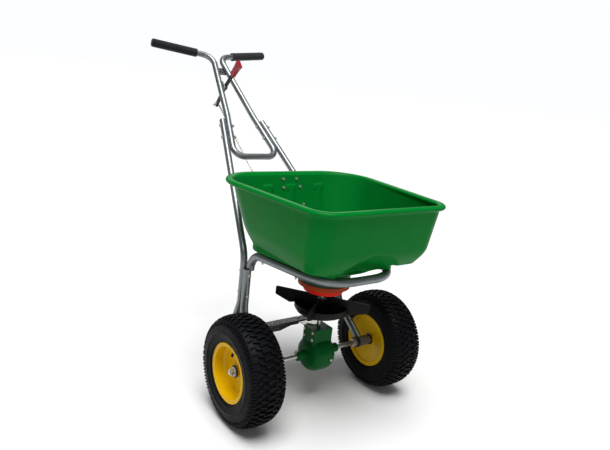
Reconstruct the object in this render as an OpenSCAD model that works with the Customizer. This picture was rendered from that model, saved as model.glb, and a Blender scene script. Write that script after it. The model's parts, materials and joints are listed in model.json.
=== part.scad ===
// Push broadcast spreader: a tub hopper on a bent tube frame, carried on two pneumatic wheels.
// The drive wheel turns the axle, and a crown gear and pinion on it turn the impeller below the hopper.
// X runs across the machine, -Y is the way it is pushed, and the origin is the centre of its footprint.

/* [Wheels] */
// Outside diameter of the tyre
tyre_d = 330; // [300:1:360]
// Width of the tyre
tyre_w = 120; // [100:1:126]
// Diameter of the rim over its flanges
rim_d = 178; // [170:1:186]
// Distance from the middle of the machine to the middle of a wheel
wheel_x = 267; // [262:1:290]

/* [Axle and bearings] */
// Diameter of the axle
axle_d = 16; // [14:1:18]
// Radial running clearance of a shaft in its bearing
run_gap = 0.06; // [0.02:0.01:0.1]
// Outside diameter of the bearing sleeve on each leg
sleeve_d = 34; // [32:1:38]
// Length of the bearing sleeve
sleeve_len = 40; // [34:1:44]

/* [Frame] */
// Outside diameter of the frame tube
frame_tube_d = 25.4; // [24:0.2:27]
// Outside diameter of the handle tube
handle_tube_d = 22; // [20:0.5:23]
// Wall thickness of every tube
tube_wall = 1.5; // [1.2:0.1:2]
// Height of the hoop that carries the hopper
hoop_z = 473; // [465:1:480]
// Distance from the middle of the machine to a leg
leg_x = 191; // [186:1:194]
// Height of the middle of the crossbar above the axle line
crossbar_rise = 78; // [74:1:84]

/* [Handle] */
// Rise of the handle for each millimetre that it runs back
handle_slope = 0.905; // [0.88:0.005:0.93]
// Height of the handle's middle line at the two bolted joints
joint_z = 789; // [780:1:800]
// Distance from the middle of the machine to the end of a grip
grip_x = 243; // [230:1:255]
// Length of a grip
grip_len = 172; // [140:1:180]
// Outside diameter of a grip
grip_d = 31; // [28:1:34]

/* [Hopper] */
// Height of the middle of the rolled rim
rim_z = 690; // [680:1:700]
// Wall thickness of the hopper
hopper_wall = 4; // [3:0.5:5]
// Thickness of the rolled rim
rim_band = 17; // [14:1:20]
// Diameter of the throat under the hopper
throat_d = 158; // [150:1:160]

/* [Drive] */
// Teeth on the crown gear of the axle
gear_teeth = 36; // [36:12:36]
// Teeth on the pinion of the impeller shaft
pinion_teeth = 12; // [12:12:12]
// Pitch radius of the pinion
pinion_r = 13.5; // [13:0.25:14]
// Radius of the impeller to the tips of its blades
impeller_r = 152; // [140:1:155]
// Number of impeller blades
blades = 4; // [3:1:5]

/* [Control] */
// Distance that the shut-off slide travels
slide_travel = 37.7; // [30:0.1:38]

/* [Hidden] */
$fn = 48;
touch = 0.2;
eps = 0.01;
lap_step = 0.3;
hoop_lap = 0.4;

// Heights and lengths that follow from the driving sizes
axle_z = tyre_d / 2;
axle_r = axle_d / 2;
sleeve_r = sleeve_d / 2;
frame_r = frame_tube_d / 2;
handle_r = handle_tube_d / 2;
sleeve_in = 178;
sleeve_out = sleeve_in + sleeve_len;
hub_half = 35;
hub_out = wheel_x + 25;
hub_in = wheel_x - hub_half;

// Hoop and legs, from the middle of the front round to one bearing sleeve
leg_y = 143;
hoop_front_y = -177;
hoop_corner_x = 132;
hoop_corner_r = 115;
leg_top_r = 58;
leg_foot_r = 58;
leg_bend_z = 266;
hoop_path = [
    [leg_x, 0, axle_z], [leg_x, leg_y, leg_bend_z], [leg_x, leg_y, hoop_z],
    [hoop_corner_x, hoop_front_y, hoop_z], [-hoop_corner_x, hoop_front_y, hoop_z],
    [-leg_x, leg_y, hoop_z], [-leg_x, leg_y, leg_bend_z], [-leg_x, 0, axle_z]
];
hoop_bends = [0, leg_foot_r, leg_top_r, hoop_corner_r, hoop_corner_r, leg_top_r, leg_foot_r, 0];

// Handle: both tubes of a side lie in one sloping plane and are bolted side by side
joint_y = 535;
bolt_y = [554, 515];
plane_back_y = 590;
function plane_z(y) = joint_z + handle_slope * (y - joint_y);
function on_plane(x, y) = [x, y, plane_z(y)];
handle_y = leg_y + frame_r + handle_r + hoop_lap + touch;
flare = 0.262;
lower_x = 97;
function lower_handle_x(y) = lower_x - flare * (y - 515);
joint_pitch = 2 * handle_r + touch;
joint_dx = joint_pitch * sqrt(1 + pow(flare, 2) / (1 + pow(handle_slope, 2)));
function upper_handle_x(y) = lower_handle_x(y) - joint_dx;
lower_top_y = 573;
lower_foot_z = 312;
lower_path = [
    [leg_x, handle_y, lower_foot_z], [leg_x, handle_y, plane_z(handle_y)],
    on_plane(lower_handle_x(lower_top_y), lower_top_y)
];
lower_bends = [0, 70, 0];
bar_y = 452;
knee_y = 812;
knee_x = 14;
grip_round = 8;
grip_end = [grip_x, 866, 1066];
knee = on_plane(knee_x, knee_y);
grip_dir = unit(grip_end - knee);
upper_half = [
    on_plane(upper_handle_x(bar_y), bar_y), on_plane(upper_handle_x(plane_back_y), plane_back_y),
    knee, grip_end - grip_dir * 3
];
upper_path = concat([for (i = [3:-1:0]) flip(upper_half[i])], upper_half);
upper_bends = [0, 46, 300, 36, 36, 300, 46, 0];

// Rear stand: a leg on each side, swaged into the lower end of the handle tube
stand_top_z = 352;
stand_r = handle_r;
swage_r = handle_r - tube_wall - 0.1;
stand_bend_z = 300;
stand_foot_y = 296;

// Bolt places: two through each leg and its handle tube, two through each handle joint
leg_bolt_z = [401, 331];
m6_r = 3;
m6_hole = 3.1;

// Hopper outlines: [height, front half width, rear half width, front y, rear y, front radius, rear radius]
rim_outer = [rim_z, 246.5, 274.5, -252.5, 279.5, 68, 142];
wall_top = [rim_z, 233, 254, -240, 256, 58, 118];
wall_knee = [548, 221, 219, -219, 213, 52, 110];
wall_foot = [510, 198, 198, -194, 188, 45, 95];
plinth_top = [503, 158, 196, -192, 166, 118, 60];
plinth_z = hoop_z + frame_r + hoop_lap + touch;
funnel_top = [plinth_z, 128, 158, -158, 120, 98, 60];
spigot_r = throat_d / 2 - 4;
spigot_top = 446;
spigot_foot = 425;
arch_r = 254;
arch_top = 568;
arch_y = -226;
arch_tilt = 40;
arch_end = -80;

// Throat, collar and slide under the hopper
throat_r = throat_d / 2;
throat_floor = 412;
floor_t = 3;
collar_foot = 399;
port_ring_r = 62;
port_ring_foot = 380;
port_r = 13;
port_circle = 41;
port_angles = [-137, -43];
slide_w = 84;
slide_t = 2;
slide_z = throat_floor - slide_t - 0.4;
slide_tab_y = 121;
slide_plate = 102;

// Gearbox round the axle, with a square neck up to the impeller shaft
box_x = 3;
box_r = 57;
box_half = 48;
box_wall = 4;
boss_r = 15;
boss_left = -72;
boss_right = 84;
neck_half_x = 35;
neck_half_y = 29;
neck_top = 255;
shaft_r = 6;
slide_front = -slide_travel - shaft_r - 2.3;
gear_pitch_r = pinion_r * gear_teeth / pinion_teeth;
tooth_out = 1.8;
pinion_tooth_w = 2;
crown_tooth_share = 0.6;
tooth_in = 2.5;
gear_x = pinion_r - tooth_out;

// Impeller: a bowl with blades that stand out past it
bowl_r = 84;
bowl_z = 300;
bowl_top = 332;
blade_top = 360;
blade_t = 4;
blade_angle = -52.5;

// Control lever, its rod and the pin that joins them
lever_x = -8;
lever_t = 5;
lever_w = 17;
lever_boss_t = 6;
pivot_y = 711;
pivot_z = 932;
rod_pin_y = 765;
rod_pin_z = 862;
lever_tip_y = 612;
lever_tip_z = 1024;
rod_r = 3;
rod_x = 1.5;
rod_foot = [slide_tab_y, 404];

// The axle line stands this far in front of the middle of the footprint
front_reach = -rim_outer[3];
back_reach = grip_end[1] + grip_round * (1 - grip_dir[1])
    + (grip_d / 2 - grip_round) * sqrt(1 - pow(grip_dir[1], 2));
axle_y = (front_reach - back_reach) / 2;

function unit(v) = v / norm(v);
function flip(p) = [-p[0], p[1], p[2]];
function tangent_len(a, b, c, r) = r * tan(acos(max(-1, min(1, unit(b - a) * unit(c - b)))) / 2);

// Points of a hopper outline: four rounded corners joined by straight sides
function side_angle(o) = let (d = [o[2] - o[6] - o[1] + o[5], o[4] - o[6] - o[3] - o[5]])
    atan2(d[1], d[0]) - acos((o[5] - o[6]) / norm(d));
function arc(cx, cy, r, a0, a1, n) = [for (i = [0:n]) let (a = a0 + (a1 - a0) * i / n)
    [cx + r * cos(a), cy + r * sin(a)]];
function right_edge(o, n) = concat(
    arc(o[1] - o[5], o[3] + o[5], o[5], -90, side_angle(o), n),
    arc(o[2] - o[6], o[4] - o[6], o[6], side_angle(o), 90, n));
function outline(o, n = 8) = let (e = right_edge(o, n))
    concat(e, [for (i = [len(e) - 1:-1:0]) [-e[i][0], e[i][1]]]);
function inset(o, t) = [o[0], o[1] - t, o[2] - t, o[3] + t, o[4] - t, o[5] - t, o[6] - t];

// Carries the whole model from the axle line to the middle of the footprint
module place() {
    translate([0, axle_y, 0]) children();
}

// Cylinder from one point to another, turned a little so that its seam stays off the seam of a bend
module rod(a, b, r) {
    d = b - a;
    translate(a) rotate([0, acos(d[2] / norm(d)), atan2(d[1], d[0])]) rotate([0, 0, 30])
        cylinder(h = norm(d), r = r);
}

// Round bar along X between two positions
module bar_x(x0, x1, y, z, r) {
    translate([x0, y, z]) rotate([0, 90, 0]) cylinder(h = x1 - x0, r = r);
}

// Bend of a round tube from direction u to direction v about a corner point
module bend(corner, u, v, bend_r, r, lap) {
    start = corner - u * bend_r * tan(acos(u * v) / 2);
    w = unit(cross(u, v));
    n = cross(w, u);
    centre = start + n * bend_r;
    x = -n;
    y = u;
    translate(centre) rotate([atan2(y[2], w[2]), -asin(x[2]), atan2(x[1], x[0])])
        rotate_extrude(angle = acos(u * v)) translate([bend_r, 0]) circle(r = r + lap);
}

// Solid round bar along a path of corner points, with a bend radius at each inner corner.
// The straights run a little way into the bends, which are fatter by a hair, so that they join.
module bar_path(path, bends, r, lap = lap_step) {
    last = len(path) - 1;
    function dir(i) = unit(path[i + 1] - path[i]);
    function cut(i) = i == 0 || i == last ? 0
        : tangent_len(path[i - 1], path[i], path[i + 1], bends[i]) - sqrt(0.8 * lap * bends[i]);
    for (i = [0:last - 1]) rod(path[i] + dir(i) * cut(i), path[i + 1] - dir(i) * cut(i + 1), r);
    if (last > 1) for (i = [1:last - 1]) bend(path[i], dir(i - 1), dir(i), bends[i], r, lap);
}

// Hollow tube along a path
module tube_path(path, bends, r, lap = lap_step) {
    difference() {
        bar_path(path, bends, r, lap);
        bar_path(path, bends, r - tube_wall, lap);
    }
}

// Holes across the handle joints, along X
module joint_holes() {
    for (s = [-1, 1], y = bolt_y) bar_x(s * (lower_handle_x(y) - joint_dx / 2) - 40,
        s * (lower_handle_x(y) - joint_dx / 2) + 40, y, plane_z(y), m6_hole);
}

// Holes through a leg and the tube behind it, along Y
module leg_holes() {
    for (s = [-1, 1], z = leg_bolt_z) rod([s * leg_x, leg_y - 30, z], [s * leg_x, handle_y + 30, z], m6_hole);
}

// Domed bolt along +X from the face of its head
module bolt_x(len, head_r = 6.5, head_h = 3.6) {
    rotate([0, 90, 0]) rotate_extrude() polygon(concat(
        [[0, len], [m6_r, len], [m6_r, 0], [head_r, 0]],
        [for (a = [0:15:90]) [head_r * cos(a), -0.8 - (head_h - 0.8) * sin(a)]]));
}

// Hexagon nut along +X with its washer face at the start
module nut_x(across = 10, h = 5, bore = m6_r) {
    rotate([0, 90, 0]) difference() {
        cylinder(h = h, r = across / sqrt(3), $fn = 6);
        translate([0, 0, -1]) cylinder(h = h + 2, r = bore);
    }
}

// Hoop that carries the hopper, with the two legs down to the bearing sleeves
module frame_hoop() {
    color("silver") place() difference() {
        tube_path(hoop_path, hoop_bends, frame_r, hoop_lap);
        bar_x(-sleeve_out - 1, -sleeve_in + 1, 0, axle_z, sleeve_r);
        bar_x(sleeve_in - 1, sleeve_out + 1, 0, axle_z, sleeve_r);
        leg_holes();
        hopper_screw_holes();
    }
}

// Bearing sleeve at the foot of a leg
module bearing_sleeve(s) {
    place() difference() {
        bar_x(s * sleeve_in - (s < 0 ? sleeve_len : 0), s * sleeve_in + (s < 0 ? 0 : sleeve_len), 0, axle_z,
            sleeve_r);
        bar_x(-sleeve_out - 1, sleeve_out + 1, 0, axle_z, sleeve_r - 4);
    }
}
module bearing_sleeve_left() {
    color("gray") bearing_sleeve(-1);
}
module bearing_sleeve_right() {
    color("gray") bearing_sleeve(1);
}

// Flanged nylon bushing pressed into the inner end of a sleeve, and a plain one in the outer end
module sleeve_bushing(s) {
    r = sleeve_r - 4;
    place() mirror([s < 0 ? 1 : 0, 0, 0]) difference() {
        union() {
            bar_x(sleeve_in - 9, sleeve_in, 0, axle_z, sleeve_r + 1.5);
            bar_x(sleeve_in, sleeve_out, 0, axle_z, r);
        }
        bar_x(sleeve_in - 10, sleeve_out + 1, 0, axle_z, axle_r + run_gap);
    }
}
module sleeve_bushing_left() {
    color("dimgray") sleeve_bushing(-1);
}
module sleeve_bushing_right() {
    color("dimgray") sleeve_bushing(1);
}

// Formed angle between the legs, deeper at its ends than in the middle
crossbar_y = 70;
crossbar_deep = 30;
crossbar_top = axle_z + crossbar_rise + 6;
module crossbar() {
    half = leg_x + 3;
    color("dimgray") place() difference() {
        union() {
            translate([-half, crossbar_y, crossbar_top - 3]) cube([2 * half, crossbar_deep, 3]);
            translate([0, crossbar_y + 3, crossbar_top]) rotate([90, 0, 0]) linear_extrude(3) polygon([
                [-half, 0], [half, 0], [half, -23], [95, -23], [55, -12], [-55, -12], [-95, -23], [-half, -23]
            ]);
        }
        bar_path(hoop_path, hoop_bends, frame_r + touch / 2, hoop_lap);
        translate([-hanger_half - 0.5, crossbar_y - 1, crossbar_top - 23]) cube([2 * hanger_half + 1, 5, 20]);
        for (x = [-1, 1]) translate([x * hanger_bolt_x, crossbar_y + 20, crossbar_top - 10])
            cylinder(h = 20, r = m6_hole);
    }
}

// Bent plate that hangs the neck of the gearbox from the crossbar
hanger_bolt_x = 14;
hanger_bolt_z = 234.5;
hanger_half = 24;
hanger_t = 3;
module gearbox_hanger() {
    under = crossbar_top - 3;
    back_y = neck_half_y + touch;
    color("lightgray") place() difference() {
        union() {
            translate([-hanger_half, crossbar_y + 3.2, under - hanger_t])
                cube([2 * hanger_half, 26, hanger_t]);
            translate([-hanger_half, back_y, neck_top - 40]) cube([2 * hanger_half, hanger_t, 40 + hanger_t]);
            translate([-hanger_half, back_y, under - hanger_t])
                cube([2 * hanger_half, crossbar_y + 10 - neck_half_y, hanger_t]);
            translate([0, 0, neck_top + 0.1]) linear_extrude(hanger_t) polygon([
                [-hanger_half, back_y + hanger_t], [hanger_half, back_y + hanger_t], [9, 11], [-9, 11]
            ]);
        }
        for (x = [-1, 1]) {
            translate([x * hanger_bolt_x, crossbar_y + 20, crossbar_top - 20]) cylinder(h = 30, r = m6_hole);
            translate([x * hanger_bolt_x, 0, hanger_bolt_z]) rotate([-90, 0, 0])
                cylinder(h = 60, r = m6_hole);
        }
    }
}

// Bolts that hold the hanger to the crossbar and to the gearbox neck
module hanger_bolts() {
    color("silver") place() for (x = [-1, 1]) {
        translate([x * hanger_bolt_x, crossbar_y + 20, crossbar_top]) rotate([0, 90, 0]) bolt_x(16);
        translate([x * hanger_bolt_x, crossbar_y + 20, crossbar_top - 6]) rotate([0, 90, 0])
            nut_x(bore = m6_r - 0.5);
        translate([x * hanger_bolt_x, neck_half_y + hanger_t + touch, hanger_bolt_z]) rotate([0, 0, -90])
            bolt_x(14);
    }
}

// Lower handle tube of one side, from behind the leg up to the bolted joint
module lower_handle(s) {
    place() difference() {
        mirror([s < 0 ? 1 : 0, 0, 0]) tube_path(lower_path, lower_bends, handle_r);
        joint_holes();
        leg_holes();
    }
}
module lower_handle_left() {
    color("silver") lower_handle(-1);
}
module lower_handle_right() {
    color("silver") lower_handle(1);
}

// Rear stand leg: a swaged end inside the handle tube, then a leg that leans back to a closed foot
module stand_bar(r, foot_z) {
    lean = (stand_foot_y - handle_y) / (stand_bend_z + 20);
    bar_path([[leg_x, handle_y, lower_foot_z], [leg_x, handle_y, stand_bend_z],
        [leg_x, handle_y + (stand_bend_z - foot_z) * lean, foot_z]], [0, 24, 0], r);
}
module rear_stand(s) {
    place() difference() {
        mirror([s < 0 ? 1 : 0, 0, 0]) difference() {
            union() {
                stand_bar(stand_r, -20);
                rod([leg_x, handle_y, lower_foot_z - 4], [leg_x, handle_y, stand_top_z], swage_r);
            }
            stand_bar(swage_r - tube_wall, 14);
            rod([leg_x, handle_y, lower_foot_z - 2], [leg_x, handle_y, stand_top_z + 1], swage_r - tube_wall);
        }
        leg_holes();
        translate([-300, 200, -60]) cube([600, 200, 60]);
    }
}
module rear_stand_left() {
    color("silver") rear_stand(-1);
}
module rear_stand_right() {
    color("silver") rear_stand(1);
}

// Upper handle: one tube bent into a U at the bottom, two uprights and two outward grips
module upper_handle() {
    color("silver") place() difference() {
        tube_path(upper_path, upper_bends, handle_r);
        joint_holes();
        bracket_holes();
    }
}

// Foam grip with a closed round end
module grip(s) {
    inner = grip_end - grip_dir * grip_len;
    r = grip_d / 2;
    place() mirror([s < 0 ? 1 : 0, 0, 0]) translate(inner)
        rotate([0, acos(grip_dir[2]), atan2(grip_dir[1], grip_dir[0])]) rotate_extrude() polygon(concat(
            [[handle_r + eps, 0], [r, 0]], arc(r - grip_round, grip_len - grip_round, grip_round, 0, 90, 6),
            [[0, grip_len], [0, grip_len - 3 + eps], [handle_r + eps, grip_len - 3 + eps]]));
}
module grip_left() {
    color("black") grip(-1);
}
module grip_right() {
    color("black") grip(1);
}

// Bolts through the handle joints, heads towards -X; their heads stand off because the tubes are slanted
bolt_gap = 1.6;
module handle_bolts() {
    color("silver") place() for (s = [-1, 1], y = bolt_y) {
        far = s > 0 ? upper_handle_x(y) : -lower_handle_x(y);
        translate([far - handle_r - bolt_gap, y, plane_z(y)]) bolt_x(joint_dx + 2 * handle_r + 11);
    }
}
module handle_nuts() {
    color("gray") place() for (s = [-1, 1], y = bolt_y) {
        near = s > 0 ? lower_handle_x(y) : -upper_handle_x(y);
        translate([near + handle_r + bolt_gap, y, plane_z(y)]) nut_x();
    }
}

// Bolts through each leg and the handle tube behind it, heads to the front
module leg_bolts() {
    color("silver") place() for (s = [-1, 1], z = leg_bolt_z)
        translate([s * leg_x, leg_y - frame_r - 0.6, z]) rotate([0, 0, 90])
            bolt_x(frame_tube_d + handle_tube_d + 9);
}
module leg_nuts() {
    color("gray") place() for (s = [-1, 1], z = leg_bolt_z)
        translate([s * leg_x, handle_y + handle_r + 0.6, z]) rotate([0, 0, 90]) nut_x();
}

// Dark plate that ties the two uprights together near the top
tie_y = 761;
function upright_x(y) = let (a = upper_half[1], b = upper_half[2])
    a[0] + (b[0] - a[0]) * (y - a[1]) / (b[1] - a[1]);
module on_handle_plane(y, below = 0) {
    translate([0, y, plane_z(y)]) rotate([atan(handle_slope), 0, 0]) translate([0, 0, -below]) children();
}
module handle_tie() {
    color("black") place() difference() {
        on_handle_plane(tie_y) translate([-26, -16, -9]) cube([52, 32, 4]);
        bar_path(upper_path, upper_bends, handle_r + touch / 2);
    }
}

// Ear on the left upright that carries the lever's pivot
module bracket_holes() {
    rod([-60, pivot_y + 4, plane_z(pivot_y + 4)], [-15, pivot_y + 4, plane_z(pivot_y + 4)], m6_hole);
}
bracket_x = -21.5;
bracket_t = 4;
module lever_bracket() {
    color("gray") place() difference() {
        translate([bracket_x, pivot_y, pivot_z]) rotate([atan(handle_slope), 0, 0]) {
            translate([0, -14, -10]) cube([bracket_t, 28, 28]);
            translate([0, 0, 0]) rotate([0, 90, 0]) cylinder(h = bracket_t, r = 12);
        }
        bar_path(upper_path, upper_bends, handle_r + touch / 2);
        bar_x(-60, 60, pivot_y, pivot_z, 4.1);
    }
}

// Slab between two outlines
module loft(low, high) {
    hull() {
        translate([0, 0, low[0]]) linear_extrude(eps) polygon(outline(low));
        translate([0, 0, high[0] - eps]) linear_extrude(eps) polygon(outline(high));
    }
}

// Funnel from an outline down to a round spigot
module funnel(top, r, z) {
    hull() {
        translate([0, 0, top[0] - eps]) linear_extrude(eps) polygon(outline(top));
        translate([0, 0, z]) cylinder(h = eps, r = r, $fn = 48);
    }
}

// Round tunnel under the front wall of the hopper, rising to the front
module arch(grow) {
    translate([0, arch_y, arch_top - arch_r / cos(arch_tilt)]) rotate([-90 - arch_tilt, 0, 0])
        translate([0, 0, -300]) cylinder(h = 300 + arch_end + grow, r = arch_r + grow, $fn = 96);
}

// Tub hopper with tapering walls, a funnel floor, an arched front edge and a rolled rim
module hopper_outside() {
    loft(wall_knee, wall_top);
    loft(wall_foot, wall_knee);
    translate([0, 0, plinth_z]) linear_extrude(wall_foot[0] - plinth_z + eps)
        polygon(outline(inset(plinth_top, 3)));
    funnel(funnel_top, spigot_r, spigot_top);
    translate([0, 0, spigot_foot]) cylinder(h = spigot_top - spigot_foot + eps, r = spigot_r);
    translate([0, 0, rim_z - rim_band / 2]) linear_extrude(rim_band) polygon(outline(rim_outer));
}
module hopper_inside() {
    t = hopper_wall;
    mouth = wall_top + (wall_top - wall_knee) * rim_band / (wall_top[0] - wall_knee[0]);
    floor_edge = inset(funnel_top, t - 2);
    loft(inset(wall_knee, t), inset(mouth, t));
    loft(inset(wall_foot, t) + [t, 0, 0, 0, 0, 0, 0], inset(wall_knee, t));
    translate([0, 0, plinth_z + t]) linear_extrude(wall_foot[0] - plinth_z + 1)
        polygon(outline(inset(plinth_top, t + 3)));
    funnel(floor_edge + [t + eps, 0, 0, 0, 0, 0, 0], spigot_r - t, spigot_top);
    translate([0, 0, spigot_foot - 1]) cylinder(h = 60, r = spigot_r - t);
}
module hopper() {
    color("green") place() difference() {
        hopper_outside();
        arch(0);
        difference() {
            hopper_inside();
            arch(hopper_wall);
        }
        hopper_screw_holes();
        gauge_holes();
    }
}

// Round throat that closes the bottom of the hopper, with two outlet ports in its floor
module ports(h) {
    for (a = port_angles) rotate([0, 0, a]) translate([port_circle, 0, 0]) cylinder(h = h, r = port_r);
}
screw_angles = [-90, 30, 150];
module hopper_throat() {
    color("darkgreen") place() difference() {
        translate([0, 0, throat_floor]) cylinder(h = spigot_top - touch - throat_floor, r = throat_r);
        translate([0, 0, throat_floor + floor_t]) cylinder(h = 40, r = throat_r - 3.9);
        translate([0, 0, throat_floor - 1]) ports(10);
        translate([0, 0, throat_floor - 1]) cylinder(h = 10, r = shaft_r + run_gap);
        for (a = screw_angles) rotate([0, 0, a]) rod([60, 0, 437], [90, 0, 437], 2.1);
    }
}

// Screws round the throat
module throat_screws() {
    color("white") place() for (a = screw_angles) rotate([0, 0, a]) {
        rod([throat_r - 3.9, 0, 437], [throat_r, 0, 437], 2);
        rod([throat_r, 0, 437], [throat_r + 2.5, 0, 437], 4.2);
    }
}

// Screws from below through the hoop into the hopper
hopper_screw_at = [[154, -58], [179.4, 80]];
module hopper_screw_holes() {
    for (s = [-1, 1], p = hopper_screw_at) translate([s * p[0], p[1], hoop_z - 30])
        cylinder(h = 54, r = 2.6);
}
module hopper_screws() {
    color("silver") place() for (s = [-1, 1], p = hopper_screw_at) translate([s * p[0], p[1], 0]) {
        translate([0, 0, hoop_z - frame_r - 8]) cylinder(h = 2 * frame_r + 13, r = 2.5);
        translate([0, 0, hoop_z - frame_r - 4.6]) rotate([0, -90, 0]) nut_x(8, 4, 2.5);
    }
}

// Orange collar under the throat, with a track for the slide
module outlet_collar() {
    color("orangered") place() difference() {
        translate([0, 0, collar_foot]) cylinder(h = throat_floor - collar_foot, r = throat_r + 2);
        translate([-slide_w / 2 - 0.5, slide_front - 14, slide_z - 0.4]) cube([slide_w + 1, 200, 10]);
        translate([0, 0, collar_foot - 1]) ports(30);
        translate([0, 0, collar_foot - 1]) cylinder(h = 30, r = shaft_r + run_gap);
    }
}

// Red skirt that guides the granules down on to the impeller
module port_ring() {
    color("red") place() difference() {
        translate([0, 0, port_ring_foot]) cylinder(h = collar_foot - port_ring_foot, r = port_ring_r);
        translate([0, 0, port_ring_foot - 1]) cylinder(h = 30, r = port_ring_r - 3);
    }
}

// Flat slide that opens and shuts the ports: a forked plate, a strip behind it and an upright tab for the rod
module shutoff_slide() {
    fork_half = shaft_r + 2.5;
    tab_x = rod_x + rod_r + 1;
    color("silver") place() difference() {
        union() {
            translate([-slide_w / 2, slide_front, slide_z]) cube([slide_w, slide_plate, slide_t]);
            translate([-14, 50, slide_z]) cube([28, slide_tab_y - 59, slide_t]);
            translate([tab_x, slide_tab_y - 21, rod_foot[1] - 8])
                cube([3, 33, slide_z + slide_t - rod_foot[1] + 8]);
        }
        translate([-fork_half, slide_front - 1, slide_z - 1])
            cube([2 * fork_half, fork_half + 1 - slide_front, 10]);
        bar_x(-20, 20, rod_foot[0], rod_foot[1], rod_r + 2);
    }
}

// Five domed bolts high on the rear wall of the hopper, and the plate behind it that they hold
gauge_at = [[-19, 675], [-20, 648], [33, 675], [46, 650], [56, 593]];
gauge_plate_top = 680.5;
gauge_plate_foot = 632;
rear_lean = atan2(wall_top[4] - wall_knee[4], wall_top[0] - wall_knee[0]);
module on_rear_wall() {
    translate([0, wall_knee[4], wall_knee[0]]) rotate([-rear_lean, 0, 0]) children();
}
function up_wall(z) = (z - wall_knee[0]) / cos(rear_lean);
module gauge_holes() {
    on_rear_wall() for (p = gauge_at) translate([p[0], -20, up_wall(p[1])]) rotate([-90, 0, 0])
        cylinder(h = 40, r = 2.6);
}
module gauge_bolts() {
    color("lightyellow") place() on_rear_wall() for (p = gauge_at) translate([p[0], 0, up_wall(p[1])]) {
        translate([0, -hopper_wall - 1, 0]) rotate([-90, 0, 0]) cylinder(h = 16, r = 2.5);
        translate([0, -hopper_wall - 0.3, 0]) rotate([90, 0, 0]) cylinder(h = 2.6, r = 4.5);
        translate([0, 3.6, 0]) rotate([0, 0, 90]) nut_x(7, 4, 2.5);
    }
}
module gauge_plate() {
    color("dimgray") place() difference() {
        on_rear_wall() union() {
            translate([-34, 0.4, up_wall(gauge_plate_foot)])
                cube([92, 3, up_wall(gauge_plate_top) - up_wall(gauge_plate_foot)]);
            translate([42, 0.4, up_wall(580)]) cube([28, 3, 60]);
            translate([-34, 0.4, up_wall(gauge_plate_foot)]) cube([92, 16, 3]);
        }
        gauge_holes();
    }
}

// Outline of the gearbox bulb, as radius along the axle
function bulge(half, r, n) = [for (i = [-n:n]) let (x = half * sin(90 * i / n))
    [r * pow(max(0, 1 - pow(abs(x / half), 3.2)), 1 / 3.2), x]];
module along_x(x) {
    translate([x, 0, axle_z]) rotate([0, 90, 0]) children();
}
module gearbox() {
    difference() {
        union() {
            along_x(box_x) rotate_extrude() polygon(bulge(box_half, box_r, 12));
            bar_x(boss_left, boss_right, 0, axle_z, boss_r);
            translate([-neck_half_x, -neck_half_y, axle_z + 20])
                cube([2 * neck_half_x, 2 * neck_half_y, neck_top - axle_z - 20]);
        }
        along_x(box_x) rotate_extrude() polygon(bulge(box_half - box_wall, box_r - box_wall, 12));
        bar_x(boss_left - 1, boss_right + 1, 0, axle_z, axle_r + run_gap);
        translate([0, 0, axle_z]) cylinder(h = neck_top, r = shaft_r + run_gap);
        translate([0, 0, axle_z]) cylinder(h = pinion_top + 1.5 - axle_z, r = pinion_r + tooth_out + 2);
        for (y = [-1, 1], z = box_screw_z) bar_x(-60, 60, y * box_screw_y, z, 2.6);
        for (x = [-1, 1]) translate([x * hanger_bolt_x, 10, hanger_bolt_z]) rotate([-90, 0, 0])
            cylinder(h = 60, r = m6_hole);
        rod([18, -60, axle_z - 4], [18, -45, axle_z - 4], 3.1);
    }
}
box_screw_y = 22;
box_screw_z = [223, 246];
module gearbox_left() {
    color("seagreen") place() intersection() {
        gearbox();
        translate([-200, -100, 50]) cube([200, 200, 300]);
    }
}
module gearbox_right() {
    color("seagreen") place() intersection() {
        gearbox();
        translate([0, -100, 50]) cube([200, 200, 300]);
    }
}

// Screws that close the two halves of the gearbox, and the plug of its grease hole
module gearbox_screws() {
    color("silver") place() for (y = [-1, 1], z = box_screw_z) {
        bar_x(-neck_half_x, neck_half_x - 1, y * box_screw_y, z, 2.5);
        bar_x(-neck_half_x - 3, -neck_half_x, y * box_screw_y, z, 4.6);
    }
}
module grease_plug() {
    color("silver") place() {
        rod([18, -46, axle_z - 4], [18, -60, axle_z - 4], 3);
        rod([18, -58, axle_z - 4], [18, -61.5, axle_z - 4], 4.2);
    }
}

// Axle with a threaded stub at each end
axle_end = hub_out + 3.4;
thread_r = axle_r * 0.75;
stub_end = axle_end + 16;
cotter_x = boss_left - 7;
drive_pin_x = -wheel_x + 5;
gear_pin_x = gear_x + 19;
module axle() {
    color("silver") place() difference() {
        union() {
            bar_x(-axle_end, axle_end, 0, axle_z, axle_r);
            bar_x(-stub_end, stub_end, 0, axle_z, thread_r);
        }
        translate([cotter_x, 0, axle_z - 20]) cylinder(h = 40, r = 1.6);
        translate([drive_pin_x, 0, axle_z - 20]) cylinder(h = 40, r = 2.55);
        translate([gear_pin_x, 0, axle_z - 20]) cylinder(h = 40, r = 2.05);
    }
}

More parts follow.
